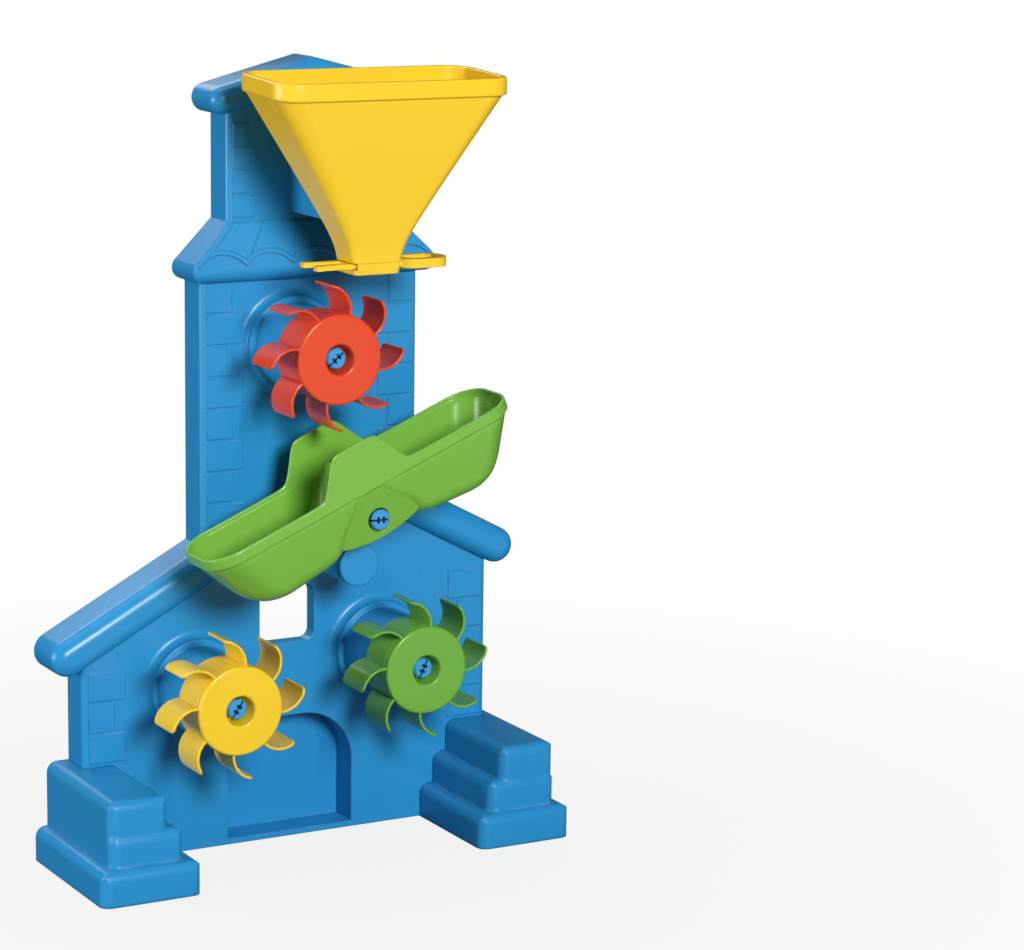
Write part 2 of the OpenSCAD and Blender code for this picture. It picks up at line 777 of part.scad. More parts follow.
module pin_tipper() pin_at(flow_x, tip_z, post_f, tip_floor, 0);

// front view of the tipper: rims, hump, two bellies and the web between them
module tip_outline_2d(o) {
    sh = tip_hump - tip_rim;
    polygon([[-tip_hl + o, tip_rim], [-tip_top - sh * 0.6, tip_rim], [-tip_top - sh / 4, tip_rim + sh / 4],
        [-tip_top - sh / 6, tip_hump - sh / 5], [-tip_top + sh / 8, tip_hump], [tip_top - sh / 8, tip_hump],
        [tip_top + sh / 6, tip_hump - sh / 5], [tip_top + sh / 4, tip_rim + sh / 4],
        [tip_top + sh * 0.6, tip_rim], [tip_hl - o, tip_rim], [tip_bl - o / 2, -tip_bot + corner_r * 2],
        [tip_bl - corner_r * 3, -tip_bot], [corner_x, -tip_bot], [tip_in, -tip_bot / 2 - 1],
        [tip_in / 2, -tip_bot * 0.66], [0, -tip_bot * 0.71], [-tip_in / 2, -tip_bot * 0.66],
        [-tip_in, -tip_bot / 2 - 1], [-corner_x, -tip_bot], [-tip_bl + corner_r * 3, -tip_bot],
        [-tip_bl + o / 2, -tip_bot + corner_r * 2]]);
    for (s = [-1, 1]) translate([s * corner_x, -corner_z]) circle(corner_r);
}

module tip_side_2d(o, top) {
    lo = -tip_bot + o;
    r = corner_r * 2.4 - o;
    polygon([[-tip_hd + lip_o + o, tip_rim - lip_h], [-tip_hd + lip_o + o, top], [tip_hd - lip_o - o, top],
        [tip_hd - lip_o - o, tip_rim - lip_h], [tip_bd - o, lo + r], [tip_bd - o - r, lo],
        [-tip_bd + o + r, lo], [-tip_bd + o, lo + r]]);
    for (s = [-1, 1]) translate([s * (tip_bd - o - r), lo + r]) circle(r);
}

module tip_plan_2d(o) {
    round_rect(2 * tip_hl - 2 * o, 2 * tip_hd - 2 * o, tip_hd * 0.72 - o);
}

module tip_body() {
    intersection() {
        along_y(-tip_hd, tip_hd) tip_outline_2d(lip_o);
        along_x(-tip_hl, tip_hl) tip_side_2d(0, tip_hump);
        translate([0, 0, -big / 4]) linear_extrude(big / 2) tip_plan_2d(lip_o);
    }
    intersection() {
        along_y(-tip_hd, tip_hd) tip_outline_2d(0);
        translate([0, 0, tip_rim - lip_h]) linear_extrude(big / 4) tip_plan_2d(0);
    }
}

// sand space of one trough
module tip_trough() {
    in_x = corner_x + tip_wall;
    end_x = tip_hl - tip_wall - lip_o;
    difference() {
        intersection() {
            along_y(-tip_hd, tip_hd) polygon([[-end_x, tip_rim], [-end_x, big / 4], [eps, big / 4], [eps, tip_ridge],
                [0, tip_ridge], [-in_x, -tip_bot + tip_wall], [-tip_bl + corner_r * 3, -tip_bot + tip_wall],
                [-tip_bl + tip_wall, -tip_bot + corner_r * 2 + tip_wall]]);
            along_x(-tip_hl, eps) tip_side_2d(tip_wall, big / 4);
            translate([0, 0, -big / 4]) linear_extrude(big) tip_plan_2d(lip_o + tip_wall);
        }
        difference() {
            along_y(-tip_hd, tip_hd) tip_web_zone_2d(tip_wall * 1.3);
            along_x(-tip_hl, tip_hl) tip_web_2d(tip_wall);
        }
    }
}

// side view of the web, which leans in more than the bellies
module tip_web_2d(o) {
    z0 = tip_rim - lip_h;
    a = tip_hd - lip_o - o;
    b = tip_bd - web_in - o;
    polygon([[-a, tip_hump], [a, tip_hump], [a, z0], [b, -tip_bot], [b, -big / 4], [-b, -big / 4],
        [-b, -tip_bot], [-a, z0]]);
}

// front view of the web between the slanting belly ends
module tip_web_zone_2d(o) {
    t = web_t + o;
    b = web_b + o;
    polygon([[-t, tip_rim - lip_h], [t, tip_rim - lip_h], [b, -tip_bot], [b, -tip_bot * 2], [-b, -tip_bot * 2],
        [-b, -tip_bot]]);
}

module tip_gap_2d() {
    polygon([[-tip_in, -big / 4], [-tip_in, -tip_bot + corner_r], [0, tip_ridge - tip_wall * 3],
        [tip_in, -tip_bot + corner_r], [tip_in, -big / 4]]);
}

module tipper() color(green) translate([flow_x, shift_y - tip_y, tip_z]) rotate([0, -tip_rest, 0]) {
    bore = pin_d / 2 + run_c;
    hub = recess_d / 2 + tip_wall;
    half = tip_hd - lip_o;
    difference() {
        union() {
            difference() {
                tip_body();
                tip_trough();
                mirror([1, 0, 0]) tip_trough();
                intersection() {
                    along_y(-tip_hd, tip_hd) tip_gap_2d();
                    along_x(-tip_hl, tip_hl) tip_web_2d(tip_wall);
                }
                difference() {
                    along_y(-tip_hd, tip_hd) tip_web_zone_2d(0);
                    along_x(-tip_hl, tip_hl) tip_web_2d(0);
                }
            }
            intersection() {
                rotate([90, 0, 0]) translate([0, 0, -half]) cylinder(r = hub, h = 2 * half);
                along_x(-tip_hl, tip_hl) tip_web_2d(0);
                along_y(-tip_hd, tip_hd) tip_outline_2d(0);
            }
            rotate([90, 0, 0]) translate([0, 0, -half]) cylinder(r = hub, h = half);
        }
        rotate([90, 0, 0]) translate([0, 0, -tip_hd]) cylinder(r = bore, h = 2 * tip_hd);
        rotate([90, 0, 0]) translate([0, 0, half - tip_recess]) cylinder(d = pin_head + 2, h = tip_recess * 2);
    }
}

tower_shell();
left_foot();
right_foot();
hopper();
slide_gate();
wheel_top();
wheel_left();
wheel_right();
tipper();
pin_top();
pin_left();
pin_right();
pin_tipper();
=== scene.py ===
import json
import math
import bpy
import numpy as np
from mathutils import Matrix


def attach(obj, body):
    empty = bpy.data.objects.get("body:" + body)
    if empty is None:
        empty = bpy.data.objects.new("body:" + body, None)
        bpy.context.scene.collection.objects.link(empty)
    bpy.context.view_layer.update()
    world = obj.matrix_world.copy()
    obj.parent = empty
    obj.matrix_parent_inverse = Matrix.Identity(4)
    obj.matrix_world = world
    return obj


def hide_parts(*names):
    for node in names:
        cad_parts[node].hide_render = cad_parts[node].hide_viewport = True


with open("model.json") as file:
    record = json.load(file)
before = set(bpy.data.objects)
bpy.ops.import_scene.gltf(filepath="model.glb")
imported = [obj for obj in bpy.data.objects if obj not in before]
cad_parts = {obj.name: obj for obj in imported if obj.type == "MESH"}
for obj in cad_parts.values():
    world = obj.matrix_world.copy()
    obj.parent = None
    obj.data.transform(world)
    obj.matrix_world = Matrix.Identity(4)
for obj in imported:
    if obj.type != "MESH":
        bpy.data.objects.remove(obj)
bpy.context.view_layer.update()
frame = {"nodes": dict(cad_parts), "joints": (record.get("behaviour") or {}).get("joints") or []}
nodes = frame["nodes"]
scene = bpy.context.scene

# Tower shell: one deep blue polypropylene moulding, open at the back. Roofs,
# brick lines, tiles, wheel bosses, doorway and window come in the same shot.
TOWER_BLUE = "288CC4"
TOWER_DEEP = "1E7CB8"
# Painted shade for the bottom of the pins' slots, nearly black.
SLOT_PAINTED_SHADE = "06243F"
# Places and sizes on the tiled skirt in metres, the two sinks in millimetres.
TILE_MIDDLE, TILE_PITCH, TILE_RADIUS = 0.0135, 0.02620, 0.01730
TILE_LOW, TILE_CROWN, SKIRT_TOP, TILE_FAN = 0.3044, 0.3104, 0.3265, 0.318
TILES_EACH_WAY = 2.4
TILE_SINK, JOINT_SINK = 0.45, 0.35
LIP_FRONT, LIP_BACK = 0.0019, 0.0026
SKIRT_FRONT, FADE = 0.0335, 0.001


def tint(code):
    """Linear colour from a six-figure sRGB code: each channel through the sRGB curve."""
    srgb = np.array([int(code[i:i + 2], 16) / 255 for i in (0, 2, 4)])
    linear = np.where(srgb > 0.04045, ((srgb + 0.055) / 1.055) ** 2.4, srgb / 12.92)
    return (*linear, 1.0)


class Wire:
    """A shader socket used in Python sums: each operator adds one Math node to its tree."""

    def __init__(self, tree, socket=None):
        self.tree, self.socket = tree, socket

    def add(self, kind, settings=None, inputs=None, out=0):
        """One node of that kind: settings first, then the values or links of its sockets."""
        node = self.tree.nodes.new(kind)
        for key, value in (settings or {}).items():
            setattr(node, key, value)
        for key, value in (inputs or {}).items():
            if isinstance(value, Wire):
                self.tree.links.new(value.socket, node.inputs[key])
            else:
                node.inputs[key].default_value = value
        return Wire(self.tree, node.outputs[out])

    def maths(self, operation, first, second):
        return self.add("ShaderNodeMath", {"operation": operation}, {0: first, 1: second})

    def __add__(self, other):
        return self.maths("ADD", self, other)

    def __radd__(self, other):
        return self.maths("ADD", other, self)

    def __sub__(self, other):
        return self.maths("SUBTRACT", self, other)

    def __rsub__(self, other):
        return self.maths("SUBTRACT", other, self)

    def __mul__(self, other):
        return self.maths("MULTIPLY", self, other)

    def __rmul__(self, other):
        return self.maths("MULTIPLY", other, self)

    def between(self, low, high):
        """0 below low and 1 above high, straight in between."""
        return self.add("ShaderNodeMapRange", {"clamp": True}, {0: self, 1: low, 2: high})


def moulded(name, colour, deep, gloss=0.27, shine=0.33, round_edge=0.001,
            shade_painted_behind=None, relief=None):
    """Glossy moulded plastic: colour drifts towards deep in broad clouds and faint flow lines,
    rubbed edges turn paler and duller, and the skin has a fine grain over softly rounded edges.
    Behind the slot depth along Y, if one is given, the colour is painted nearly black as shade.
    Relief, if given, makes a height from the coordinates, in millimetres."""
    material = bpy.data.materials.new(name)
    material.use_nodes = True
    tree = material.node_tree
    shader = tree.nodes["Principled BSDF"]
    start = Wire(tree)
    place = start.add("ShaderNodeTexCoord", out=3)

    def noise(scale, detail, coords=place):
        return start.add("ShaderNodeTexNoise", None,
                         {"Vector": coords, "Scale": scale, "Detail": detail, "Roughness": 0.55})

    def blend(share, first, second):
        return start.add("ShaderNodeMix", {"data_type": "RGBA"}, {0: share, 6: first, 7: second}, 2)

    def bump(strength, distance, height, normal):
        return start.add("ShaderNodeBump", None, {"Strength": strength, "Distance": distance,
                                                  "Height": height, "Normal": normal})

    stretched = start.add("ShaderNodeMapping", None, {"Vector": place, "Scale": (1.0, 1.0, 0.12)})
    clouds = noise(11.0, 2.0).between(0.35, 0.68)
    flow = noise(60.0, 3.0, stretched).between(0.42, 0.66)
    specks = noise(520.0, 2.0).between(0.66, 0.74)
    rounded = start.add("ShaderNodeBevel", {"samples": 6}, {"Radius": round_edge})
    true_normal = start.add("ShaderNodeNewGeometry", out=1)
    facing = start.add("ShaderNodeVectorMath", {"operation": "DOT_PRODUCT"},
                       {0: rounded, 1: true_normal}, out=1)
    edge = (1.0 - facing).between(0.015, 0.2)
    rub = edge * noise(95.0, 4.0).between(0.44, 0.62)
    amount = 0.2 + 0.5 * clouds + 0.05 * flow
    pale = tuple(0.75 * c + 0.25 for c in tint(colour))
    body = blend(amount * 0.5, tint(colour), tint(deep))
    worn = blend(rub * 0.3, body, pale)
    surface = blend(specks * 0.08, worn, tint(deep))
    rough = gloss + 0.06 * clouds + 0.02 * flow + 0.22 * rub
    grain = noise(1500.0, 2.0) * 0.05 + noise(140.0, 2.0) * 0.25
    bumped = bump(0.12, 0.0006, grain, rounded)
    if relief is not None:
        bumped = bump(1.0, 0.001, relief(place), bumped)
    # Painted shade: behind the slot depth the colour turns nearly black.
    if shade_painted_behind is not None:
        depth = start.add("ShaderNodeSeparateXYZ", None, {0: place}, out=1)
        surface = blend(depth.between(shade_painted_behind, shade_painted_behind + FADE), surface, tint(SLOT_PAINTED_SHADE))
    tree.links.new(surface.socket, shader.inputs["Base Color"])
    tree.links.new(rough.socket, shader.inputs["Roughness"])
    tree.links.new(bumped.socket, shader.inputs["Normal"])
    shader.inputs["IOR"].default_value = 1.49
    shader.inputs["Specular IOR Level"].default_value = shine
    return material


def dress(name, material):
    """A CAD node takes the material, its triangles welded and shaded smooth up to 32 degrees."""
    node = nodes[name]
    node.data.materials.clear()
    node.data.materials.append(material)
    weld = node.modifiers.new("weld", "WELD")
    weld.merge_threshold = 0.000004
    split = node.modifiers.new("crease", "EDGE_SPLIT")
    split.split_angle = math.radians(32)
    node.modifiers.new("even", "WEIGHTED_NORMAL")


def tile_relief(place):
    """How deep the skirt's tiles lie: behind a lip along each scallop's arc, and deeper still in
    the joints that fan in from its cusps towards the top."""
    x, y, z = (place.add("ShaderNodeSeparateXYZ", None, {0: place}, out=k) for k in range(3))
    across = (x - TILE_MIDDLE) * (1.0 / TILE_PITCH) + 0.5
    u = (place.maths("FRACT", across + 8.0, 0.0) - 0.5) * TILE_PITCH
    v = z - (TILE_CROWN - TILE_RADIUS)
    above = place.maths("SQRT", u * u + v * v, 0.0) - TILE_RADIUS
    narrowed = 1.0 - TILE_FAN * z.between(TILE_LOW, SKIRT_TOP)
    fanned = place.maths("DIVIDE", x - TILE_MIDDLE, narrowed)
    side = place.maths("FRACT", fanned * (1.0 / TILE_PITCH) + 8.5, 0.0) - 0.5
    joint = place.maths("ABSOLUTE", side, 0.0).between(0.476, 0.49)
    behind_lip = above.between(LIP_FRONT, LIP_BACK)
    under_top = 1.0 - z.between(SKIRT_TOP - FADE, SKIRT_TOP)
    on_skirt = z.between(TILE_LOW, TILE_LOW + FADE) * under_top
    reach = TILES_EACH_WAY * TILE_PITCH
    within = 1.0 - place.maths("ABSOLUTE", fanned, 0.0).between(reach, reach + FADE)
    in_front = within * (1.0 - y.between(SKIRT_FRONT, SKIRT_FRONT + FADE))
    return behind_lip * (TILE_SINK + JOINT_SINK * joint) * on_skirt * in_front * -1.0


tower_plastic = moulded("tower_plastic", TOWER_BLUE, TOWER_DEEP, relief=tile_relief)
dress("tower_shell", tower_plastic)

# Feet: two stepped blue blocks, hollow mouldings that slip over the shell's
# lower corners and clip into it, so that the tower stands by itself.
foot_plastic = moulded("foot_plastic", TOWER_BLUE, TOWER_DEEP, round_edge=0.0028)
dress("left_foot", foot_plastic)
dress("right_foot", foot_plastic)

# Hopper: a thin yellow funnel with a banded rim and a square neck, hung by a
# tongue in the arm of the shell. Sizes here are millimetres from the neck's middle.
HOPPER_YELLOW = "ECC42C"
HOPPER_DEEP = "E4B824"
HOPPER_SPOT = (0.02, 0.033125, 0.0)
# Half width, half depth, corner radius and middle of the two outlines.
NECK = (12.75, 11.0, 3.5, -52.0)
MOUTH = (62.15, 26.65, 11.5, -58.0)
NECK_LOW, SLOT_LOW, SLOT_HIGH = 304.5, 307.15, 310.45
FLARE_LOW, FLARE_SOFT, MOUTH_LEAN = 316.0, 90.0, 0.05
BAND_LOW, BAND_TALL, BAND_OUT, HOPPER_WALL = 394.5, 8.5, 1.6, 1.9
# The cheeks join neck and collar beside the slot; the tongue has a stem and a broader head.
CHEEK_WIDE, CHEEK_TALL = (-11.4, 11.4), (306.6, 311.8)
FRONT_CHEEK, BACK_CHEEK = (-63.0, -61.2), (-42.8, -41.0)
STEM_WIDE, STEM_DEEP, STEM_LEAN = (-3.5, 3.5), (-39.6, -32.7), 2.6
HEAD_WIDE, HEAD_DEEP = (-7.0, 7.0), (-32.6, -30.3)
TONGUE_TALL, BLOCK_EASE = (335.1, 356.6), 0.5


def eased(corners, steps=6):
    """Closed outline through corners (x, y, reach): at each one a quadratic bend runs between the
    two points that lie reach away from the corner along its sides."""
    rows = np.array(corners, float)
    spot, reach = rows[:, :2], rows[:, 2:]
    back, ahead = np.roll(spot, 1, 0) - spot, np.roll(spot, -1, 0) - spot
    first = spot + back / np.linalg.norm(back, axis=1)[:, None] * reach
    last = spot + ahead / np.linalg.norm(ahead, axis=1)[:, None] * reach
    t = np.linspace(0, 1, steps)[:, None, None]
    bends = (1 - t) ** 2 * first + 2 * t * (1 - t) * spot + t ** 2 * last
    return bends.transpose(1, 0, 2).reshape(-1, 2)


def skin(grid, ring):
    """Points and faces of a grid (rows, columns, 3) joined round its columns: round its rows too
    if it is a ring, else with both end rows filled. Turned outwards by the sign of its volume."""
    rows, columns = grid.shape[:2]
    i, j = np.meshgrid(np.arange(rows if ring else rows - 1), np.arange(columns), indexing="ij")
    i2, j2 = (i + 1) % rows, (j + 1) % columns
    corners = [i * columns + j, i * columns + j2, i2 * columns + j2, i2 * columns + j]
    quads = np.stack(corners, -1).reshape(-1, 4)
    points = grid.reshape(-1, 3)
    a, b, c, d = (points[quads[:, k]] for k in range(4))
    volume = np.einsum("ij,ij->", a, np.cross(b, c)) + np.einsum("ij,ij->", a, np.cross(c, d))
    faces = quads.tolist()
    if not ring:
        faces += [list(range(columns))[::-1], list(range((rows - 1) * columns, rows * columns))]
    return points, [f[::-1] for f in faces] if volume < 0 else faces


def piece(name, skins, material, body, stands_for):
    """One finished object from several skins, smooth up to 50 degrees, riding on its body."""
    points, faces, start = [], [], 0
    for spots, polygons in skins:
        points.append(spots)
        faces += [[k + start for k in f] for f in polygons]
        start += len(spots)
    mesh = bpy.data.meshes.new(name)
    mesh.from_pydata(np.concatenate(points).tolist(), [], faces)
    mesh.shade_smooth()
    mesh.materials.append(material)
    made = bpy.data.objects.new(name, mesh)
    scene.collection.objects.link(made)
    crease = made.modifiers.new("crease", "EDGE_SPLIT")
    crease.split_angle = math.radians(50)
    made.modifiers.new("even", "WEIGHTED_NORMAL")
    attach(made, body)
    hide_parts(stands_for)


def plan(x0, x1, half, near, far, side=24):
    """Rounded rectangles from x0 to x1, one for each row: round corners of radius near and far at
    the two ends, joined by straight sides of evenly spaced points."""
    turn = np.linspace(0, np.pi / 2, 14)
    corners = [(x1 - far, half - far, far, 0), (x0 + near, half - near, near, 1),
               (x0 + near, near - half, near, 2), (x1 - far, far - half, far, 3)]
    arcs = []
    for cx, cy, radius, quarter in corners:
        angle = turn + quarter * np.pi / 2
        arcs.append(np.stack([cx + radius * np.cos(angle), cy + radius * np.sin(angle)], -1))
    step = np.linspace(0, 1, side + 2)[1:-1, None]
    parts = []
    for arc, following in zip(arcs, arcs[1:] + arcs[:1]):
        parts += [arc, arc[:, -1:] + step * (following[:, :1] - arc[:, -1:])]
    return np.concatenate(parts, 1)


def flare(z):
    """A hyperbola in height: nearly nothing below FLARE_LOW, and straight up above it."""
    rise = z - FLARE_LOW
    return (rise + np.sqrt(rise * rise + FLARE_SOFT)) / 2


def funnel_rows(z, inset):
    """Rounded rectangles at heights z: the neck's outline runs into the mouth's as the flare does.
    Inset draws the outline in, and the mouth leans forward a little, as the tongue sits loosely
    in the arm."""
    low, high = flare(NECK_LOW), flare(BAND_LOW)
    share = np.minimum((flare(z) - low) / (high - low), 1.0)
    wide, deep, corner, middle = (a + share * (b - a) for a, b in zip(NECK, MOUTH))
    radius = np.maximum(corner - inset, 0.8)
    outline = plan(inset - wide, wide - inset, deep - inset, radius, radius, 10)
    height = z + MOUTH_LEAN * share * outline[..., 1]
    outline = outline + np.stack([0 * middle, middle], -1)
    return np.concatenate([outline, height[..., None]], -1)


def funnel_grid():
    """Outside up to the band, over its rounded rim, and down the inside to the gate's slot."""
    up = np.concatenate([np.linspace(SLOT_HIGH, 340, 26), np.linspace(345, BAND_LOW - 1.2, 12)])
    top, out, wall = BAND_TALL, -BAND_OUT, HOPPER_WALL
    rim = np.array([(-1.0, 0.0), (-0.6, -0.1), (-0.3, -0.5), (-0.1, -1.2), (0.4, out + 0.05),
                    (1.2, out), (top - 1.1, out), (top - 0.4, out + 0.15), (top - 0.1, out + 0.5),
                    (top, out + 1.0), (top, wall - 0.7), (top - 0.2, wall - 0.2),
                    (top - 0.6, wall), (1.0, wall)])
    down = np.concatenate([[BAND_LOW - 0.5], up[::-1]])
    return np.concatenate([funnel_rows(up[:, None], 0.0),
                           funnel_rows(BAND_LOW + rim[:, :1], rim[:, 1:]),
                           funnel_rows(down[:, None], HOPPER_WALL)])


def collar_grid():
    """The neck's lower edge under the gate: one closed ring."""
    top, wall = SLOT_LOW - NECK_LOW, HOPPER_WALL
    rows = np.array([(0.0, 0.5), (0.15, 0.12), (0.5, 0.0), (top, 0.0), (top, wall), (0.5, wall),
                     (0.0, wall - 0.5)])
    return funnel_rows(NECK_LOW + rows[:, :1], rows[:, 1:])


def block_grid(x, y, z, lean=0.0):
    """An upright block between pairs of x, y and z, with eased upright edges. Its front stands
    lean further back at the top than at the bottom."""
    layers = []
    for height, front in zip(z, (y[0], y[0] + lean)):
        corners = [(x[0], front), (x[1], front), (x[1], y[1]), (x[0], y[1])]
        outline = eased([(*corner, BLOCK_EASE) for corner in corners])
        layers.append(np.insert(outline, 2, height, axis=1))
    return np.stack(layers)


def hung(grid):
    """Millimetres from the neck's middle line to the toy's frame."""
    return grid * 0.001 + HOPPER_SPOT


hopper_plastic = moulded("hopper_plastic", HOPPER_YELLOW, HOPPER_DEEP, round_edge=0.0006)
hopper_skins = [skin(hung(grid), True) for grid in (funnel_grid(), collar_grid())]
hopper_skins += [skin(hung(block_grid(*sides)), False) for sides in (
    (CHEEK_WIDE, FRONT_CHEEK, CHEEK_TALL), (CHEEK_WIDE, BACK_CHEEK, CHEEK_TALL),
    (STEM_WIDE, STEM_DEEP, TONGUE_TALL, STEM_LEAN), (HEAD_WIDE, HEAD_DEEP, TONGUE_TALL))]
piece("funnel_hopper", hopper_skins, hopper_plastic, "tower", "hopper")

# Slide gate: a flat yellow tongue through the neck's slots, with two barbed
# prongs at one end and a pull loop at the other, its edges rounded in the mould.
GATE_ROUND = 0.0014
dress("slide_gate", hopper_plastic)
soften = nodes["slide_gate"].modifiers.new("round", "BEVEL")
soften.width = GATE_ROUND
soften.segments = 3

# Wheels: three paddle wheels alike but for colour, each a hollow drum with
# eight curled blades moulded in one piece, turning on a push-in pin.
DRUM_RADIUS = 0.023
DRUM_LENGTH = 0.0255
DRUM_WALL = 0.002
BORE_RADIUS = 0.0041
RECESS_RADIUS = 0.00775
RECESS_DEPTH = 0.008
GROOVE_BACK, GROOVE_HALF, GROOVE_DEEP, GROOVE_EASE = 0.0042, 0.0004, 0.0002, 0.0001
BLADE_CURL = 0.0125
BLADE_SWEEP = np.pi / 2 + 0.04
BLADE_THICK = 0.0014
BLADE_CORNER = 0.003
BLADE_LOW, BLADE_HIGH = 0.0006, DRUM_LENGTH - 0.0013
BLADE_EASE = 0.0006
BLADE_COUNT = 8
WHEEL_BACK = 0.001625
JOINTS = {joint["child"]: joint for joint in frame["joints"]}
# Body, name, slot, first blade's angle, colour and deeper colour.
WHEELS = {
    "wheel_top": ("top_wheel", "red_paddle_wheel", "red", 29.0, "DC4A22", "C8362C"),
    "wheel_left": ("left_wheel", "yellow_paddle_wheel", "yellow", 36.5, "ECC82A", "E0B424"),
    "wheel_right": ("right_wheel", "green_paddle_wheel", "green", 37.5, "70A83C", "52A040"),
}


def drum_grid():
    """The drum's closed section (radius, height) turned once round the axle, with a fine groove
    round its outside."""
    front, floor = DRUM_LENGTH, DRUM_LENGTH - RECESS_DEPTH
    hub, inner, lid = RECESS_RADIUS + DRUM_WALL, DRUM_RADIUS - DRUM_WALL, front - DRUM_WALL
    line, sunk = front - GROOVE_BACK, DRUM_RADIUS - GROOVE_DEEP
    flank = GROOVE_HALF - GROOVE_EASE
    section = eased([
        (BORE_RADIUS, 0, 0.0003), (BORE_RADIUS, floor, 0.0003),
        (RECESS_RADIUS - 0.0014, floor, 0.0008), (RECESS_RADIUS, front, 0.0012),
        (DRUM_RADIUS, front, 0.0016), (DRUM_RADIUS, line + GROOVE_HALF, GROOVE_EASE),
        (sunk, line + flank, GROOVE_EASE), (sunk, line - flank, GROOVE_EASE),
        (DRUM_RADIUS, line - GROOVE_HALF, GROOVE_EASE), (DRUM_RADIUS, 0, 0.0006),
        (inner, 0, 0.0006), (inner, lid, 0.001), (hub, lid, 0.001), (hub, 0, 0.0004)])
    turn = np.linspace(0, 2 * np.pi, 128, endpoint=False)
    radius, height = section[:, :1], section[:, 1:]
    return np.stack([radius * np.cos(turn), radius * np.sin(turn), height + 0 * turn], -1)


def blade_grid(angle):
    """A rounded strip carried along a quarter circle that leaves the drum straight out and curls
    round, its section drawn in over the last millimetres to a rounded tip, turned by angle about
    the axle."""
    length = BLADE_CURL * BLADE_SWEEP
    bent = length - BLADE_CORNER
    tip = BLADE_CORNER * np.sin(np.linspace(0.12, np.pi / 2, 12))
    along = np.concatenate([np.linspace(0, bent, 20), bent + tip])
    left = length - along
    half = BLADE_THICK / 2
    thin = np.sqrt(1 - (1 - np.minimum(left, half) / half) ** 2 * 0.98)
    short = BLADE_CORNER - np.minimum(left, BLADE_CORNER)
    inset = BLADE_CORNER - np.sqrt(BLADE_CORNER ** 2 - short ** 2)
    middle, span = (BLADE_LOW + BLADE_HIGH) / 2, (BLADE_HIGH - BLADE_LOW) / 2
    corners = [(-half, -span), (half, -span), (half, span), (-half, span)]
    strip = eased([(*corner, BLADE_EASE) for corner in corners])
    bend = along / BLADE_CURL - np.pi / 2
    reach = BLADE_CURL + strip[:, 0] * thin[:, None]
    x = DRUM_RADIUS - DRUM_WALL / 2 + reach * np.cos(bend)[:, None]
    y = BLADE_CURL + reach * np.sin(bend)[:, None]
    z = middle + strip[:, 1] * (1 - inset / span)[:, None]
    c, s = np.cos(angle), np.sin(angle)
    return np.stack([x * c - y * s, x * s + y * c, z], -1)


def on_wall(grid, axle):
    """From the wheel's own axes, with its height running out of the wall, to the toy's frame."""
    x, _, z = axle
    return np.stack([x + grid[..., 0], WHEEL_BACK - grid[..., 2], z + grid[..., 1]], -1)


for node, (body, name, slot, start, face, shade) in WHEELS.items():
    axle = JOINTS[body]["pos_m"]
    angles = np.radians(start) + np.arange(BLADE_COUNT) * 2 * np.pi / BLADE_COUNT
    skins = [skin(on_wall(drum_grid(), axle), True)]
    skins += [skin(on_wall(blade_grid(angle), axle), False) for angle in angles]
    wheel_plastic = moulded(name + "_plastic", face, shade, gloss=0.2, shine=0.36,
                            round_edge=0.0004)
    piece(name, skins, wheel_plastic, body, node)

# Tipper: a green double trough moulded in one piece that rocks on its pin under
# the top wheel. Two bellies meet at a ridge between raised guards, and a thin
# web carries the pin. Sizes here are millimetres in the tipper's own level axes.
TROUGH_GREEN = "78AE3E"
TROUGH_DEEP = "5EA83E"
# It rests at one end of its swing, half the swing away from level.
TIP_TILT = math.radians(JOINTS["trough"]["range_deg"][1] / 2)
TIP_AXLE = JOINTS["trough"]["pos_m"]
TIP_RIM, TIP_GUARD, TIP_LIP, TIP_FLOOR = 23.5, 43.5, 17.5, -15.7
TIP_LONG, TIP_HALF, TIP_WALL, TIP_CORNER, INSIDE_TOP = 91.5, 23.5, 1.6, 17, 21.6
NEAR_FOOT, NEAR_LEAN, FAR_FOOT, FAR_LEAN = 25.8, 0.64, 73.0, 0.525
SIDE_FOOT, SIDE_LEAN, WEB_TOP, WEB_LEAN = 17.2, 0.165, 22.7, 0.262
NEAR_ROUND, FAR_ROUND, SIDE_ROUND = 4.0, 13.0, 7.5
NEAR_CORNER, FAR_CORNER, END_WALL = 9.5, 16.2, 1.1
FLOOR_LIFT, LIFT_START, LIFT_LONG = 4.0, 68.0, 43.0
GUARD_MIDDLE, GUARD_SLOPE, GUARD_FOOT_SOFT, GUARD_TOP_SOFT = 18.6, 1.75, 14.0, 8.0
RIDGE_HALF, RIDGE_PEAK, RIDGE_SLOPE, RIDGE_SOFT, RIDGE_THICK = 10.0, 28.9, 1.75, 3.2, 2.38
RIDGE_WIDE, RIDGE_SINK = 22.4, 0.9
SILL_MIDDLE, SILL_RADIUS, WEB_BLEND = 59.0, 70.0, 14.0
LIP_LAP, END_LAP, END_LEAN = 1.5, 5.2, 0.58
RECESS, RECESS_FLOOR, RECESS_BACK = 5.9, 16.7, 14.0
BORE, SLEEVE, SLEEVE_END, COLLAR, COLLAR_START = 4.1, 6.0, -15.0, 9.3, 16.5


def near_end(z):
    """Where a belly begins at height z: its inner end leans out as it goes down."""
    return NEAR_FOOT - NEAR_LEAN * (z - TIP_FLOOR)


def half_depth(z):
    """Half of a belly's depth at height z, with the mould's draft."""
    return SIDE_FOOT + SIDE_LEAN * (z - TIP_FLOOR)


def web_face(z):
    """How far the web's face stands from the middle at height z, leaning in towards the bottom."""
    return WEB_TOP - WEB_LEAN * (TIP_LIP - z)


def drawn_in(z, floor, radius):
    """How far a round of that radius at the floor draws a wall in at height z."""
    below = np.clip(radius - (z - floor), 0, radius)
    return radius - np.sqrt(radius ** 2 - below ** 2)


